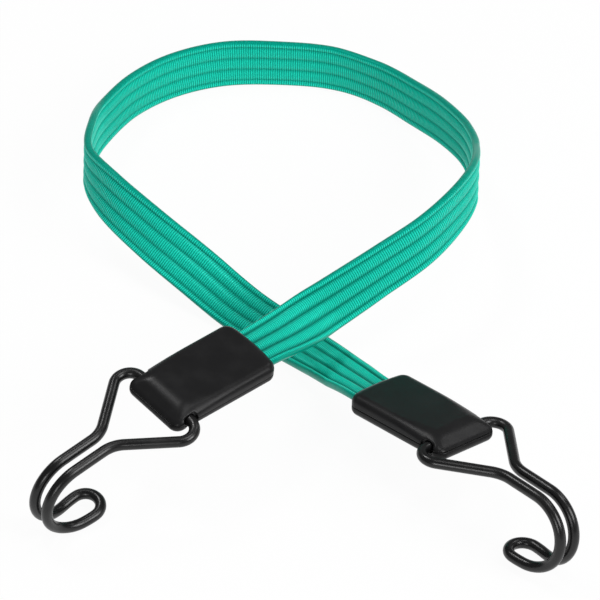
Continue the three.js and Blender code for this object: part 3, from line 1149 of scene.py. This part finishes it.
@dataclass
class Hook:
    """A hook formed from one wire, in millimetres, with the pivot at its origin.

    The wire has two legs, two arms, a twin shank, a round bend and an eye at the tip.
    """

    place: EndPlace
    wire: float = 4.2
    leg_space: float = 6.0
    wall: float = 14.5
    elbow_inset: float = 0.5
    elbow: float = 5.8
    arm_angle: float = 38.5
    neck: float = 12.0
    shank_space: float = 2.7
    reach: float = 46.0
    bend: float = 14.3
    flare_turn: float = 120.0
    tip_length: float = 11.0
    tip_eye: float = 7.4
    sides: int = 24
    step: float = 0.7
    least_steps: int = 3

    def shank_side(self) -> float:
        """How far each wire of the shank is from the hook's middle plane."""
        return (self.shank_space + self.wire) / 2

    def eye_radius(self) -> float:
        """The radius of the tip eye, to the middle of the wire."""
        return (self.tip_eye + self.wire) / 2

    def sweep(self, radius: float, start: float, end: float) -> list[float]:
        """Even steps after the start, up to the end, each about one step of wire long."""
        count = max(self.least_steps, math.ceil(abs(end - start) * radius / self.step))
        return [start + (end - start) * (i + 1) / count for i in range(count)]

    def arm(self) -> list[Place]:
        """One leg, its elbow, its arm and its side of the shank.

        Returns:
            Points from the wire's end in the housing to the shank's end.
        """
        elbow_y, shank_y = self.wall - self.elbow_inset, self.shank_side()
        arm = math.radians(self.arm_angle)
        rows = [(0, self.leg_space / 2, 0), (0, elbow_y, 0)]
        for turn in self.sweep(self.elbow, 0, math.pi / 2 + arm):
            x = self.elbow * (1 - math.cos(turn))
            rows.append((x, elbow_y + self.elbow * math.sin(turn), 0))
        end_x, end_y, _ = rows[-1]
        drop = self.neck * (1 - math.cos(arm))
        neck_x = end_x + (end_y - shank_y - drop) / math.tan(arm) + self.neck * math.sin(arm)
        for turn in (arm, *self.sweep(self.neck, arm, 0)):
            y = shank_y + self.neck * (1 - math.cos(turn))
            rows.append((neck_x - self.neck * math.sin(turn), y, 0))
        return [*rows, (self.reach, shank_y, 0)]

    def flared(self, run: float) -> float:
        """How the wires part on the bend, to be as far apart as the tip eye is wide.

        Args:
            run: the way along the wire from the shank's end.

        Returns:
            The wire's distance from the hook's middle plane.
        """
        start = self.bend * math.radians(self.flare_turn)
        end = self.bend * math.pi + self.tip_length - self.eye_radius()
        share = min(max((run - start) / (end - start), 0), 1)
        widening = (self.eye_radius() - self.shank_side()) * (1 - math.cos(math.pi * share)) / 2
        return self.shank_side() + widening

    def tip(self) -> list[Place]:
        """One side of the round bend and of the tip eye.

        Returns:
            Points from the shank's end to the middle of the eye.
        """
        eye = self.eye_radius()
        eye_start = self.tip_length - eye
        rows = []
        for turn in self.sweep(self.bend, 0, math.pi):
            x, z = self.reach + self.bend * math.sin(turn), self.bend * (math.cos(turn) - 1)
            rows.append((x, self.flared(self.bend * turn), z))
        low = -2 * self.bend
        for run in self.sweep(1, 0, eye_start):
            rows.append((self.reach - run, self.flared(self.bend * math.pi + run), low))
        for turn in self.sweep(eye, 0, math.pi / 2):
            x = self.reach - eye_start - eye * math.sin(turn)
            rows.append((x, eye * math.cos(turn), low))
        return rows

    def build(self, finish: Material) -> Piece:
        """Makes the hook.

        Args:
            finish: the coated wire.

        Returns:
            The piece.
        """
        half = np.array([*self.arm(), *self.tip()])
        line = np.vstack([half, half[:-1][::-1] * (1, -1, 1)])
        name = f"{self.place.end.value}_hook"
        placed = self.place.placed(self.wrapped(line), self.place.hook_turn())
        piece = new_piece(f"{name}_wire", placed, tube_faces(len(line), self.sides), finish)
        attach(piece, name)
        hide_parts(name)
        return piece

    def wrapped(self, line: Array) -> Array:
        """Rings of points round a line, without twist.

        Args:
            line: rows of x, y, z.

        Returns:
            The points, ring after ring.
        """
        steps = np.diff(line, axis=0)
        steps /= np.linalg.norm(steps, axis=1, keepdims=True)
        along = np.vstack([steps[:1], steps[:-1] + steps[1:], steps[-1:]])
        along /= np.linalg.norm(along, axis=1, keepdims=True)
        out = np.array([0, 0, 1.0])
        turn = np.linspace(0, 2 * math.pi, self.sides, endpoint=False)
        rings = []
        for middle, way in zip(line, along):
            out = out - way * (out @ way)
            out /= np.linalg.norm(out)
            side = np.cross(way, out)
            ring = np.cos(turn)[:, None] * out + np.sin(turn)[:, None] * side
            rings.append(middle + ring * self.wire / 2)
        return np.vstack(rings)


@dataclass
class Softbox:
    """A square lamp that looks at a point."""

    name: str
    at: Place
    size: float
    watts: float
    aim: Place = (0.0, 0.1, 0.02)

    def build(self) -> None:
        """Makes the lamp."""
        light = bpy.data.lights.new(self.name, "AREA")
        light.shape, light.size, light.energy = "SQUARE", self.size, self.watts
        lamp = bpy.data.objects.new(self.name, light)
        way = np.array(self.aim) - np.array(self.at)
        lamp.location = self.at
        lamp.rotation_mode = "QUATERNION"
        lamp.rotation_quaternion = Vector(way.tolist()).to_track_quat("-Z", "Y")
        bpy.context.scene.collection.objects.link(lamp)


@dataclass
class Studio:
    """Camera, floor, surroundings and lamps, in metres."""

    camera_at: Place = (-0.001, -1.249, 1.1822)
    camera_tilt: float = 49.0
    lens: float = 279.49
    sensor: float = 36.0
    clip: Span = (0.1, 20.0)
    floor_size: float = 8.0
    floor_gap: float = 0.0003
    ambient: float = 0.2

    LAMPS = (
        Softbox("key", (1.05, -0.55, 0.9), size=0.7, watts=12.5),
        Softbox("top", (0.3, 0.0, 1.3), size=0.5, watts=3.6),
        Softbox("rim", (-0.5, 0.6, 1.22), size=0.3, watts=4.5),
        Softbox("side", (0.85, 0.65, 0.95), size=0.35, watts=1.6),
        Softbox("fill", (-0.35, -1.5, 0.65), size=0.6, watts=6.5),
    )

    def build(self, floor: Material) -> None:
        """Makes all of it.

        Args:
            floor: the floor's finish.
        """
        self.build_camera()
        self.build_floor(floor)
        self.build_world()
        for lamp in self.LAMPS:
            lamp.build()
        bpy.context.scene.view_settings.view_transform = "Standard"

    def build_camera(self) -> None:
        """Makes the camera at the photo's angle."""
        lens = bpy.data.cameras.new("camera")
        lens.lens, lens.sensor_width = self.lens, self.sensor
        lens.clip_start, lens.clip_end = self.clip
        camera = bpy.data.objects.new("camera", lens)
        camera.location = self.camera_at
        camera.rotation_euler = (math.radians(self.camera_tilt), 0, 0)
        bpy.context.scene.collection.objects.link(camera)
        bpy.context.scene.camera = camera

    def build_floor(self, finish: Material) -> None:
        """Makes the floor, a hair below the object.

        Args:
            finish: the floor's finish.
        """
        half = self.floor_size / 2
        corners = np.array([(-half, -half), (half, -half), (half, half), (-half, half)])
        points = np.hstack([corners, np.full((4, 1), -self.floor_gap)])
        new_piece("floor", points, [[0, 1, 2, 3]], finish)

    def build_world(self) -> None:
        """Makes even surroundings."""
        world = bpy.data.worlds.new("studio")
        world.use_nodes = True
        light = world.node_tree.nodes["Background"]
        light.inputs["Color"].default_value = (1, 1, 1, 1)
        light.inputs["Strength"].default_value = self.ambient
        bpy.context.scene.world = world


def dress_bands(finish: Material) -> None:
    """Gives the two steel bands inside the housings their finish.

    Args:
        finish: the plated steel.
    """
    for end in End:
        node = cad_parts[f"{end.value}_crimp_band"]
        node.data.materials.clear()
        node.data.materials.append(finish)


def main() -> None:
    """Builds the studio and the cord, piece by piece."""
    logging.basicConfig(level=logging.INFO, format="%(name)s: %(message)s")
    Studio().build(FloorFinish().material())
    pieces = [Strap().build(WovenFinish().material())]
    plastic, coating = MouldedFinish().material(), CoatedWireFinish().material()
    for place in (LEFT_PLACE, RIGHT_PLACE):
        pieces += [*Housing(place).build(plastic), Hook(place).build(coating)]
    for piece in pieces:
        LOG.info("%s: %d faces", piece.name, len(piece.data.polygons))
    dress_bands(StripFinish().material())


if __name__ == "__main__":
    main()
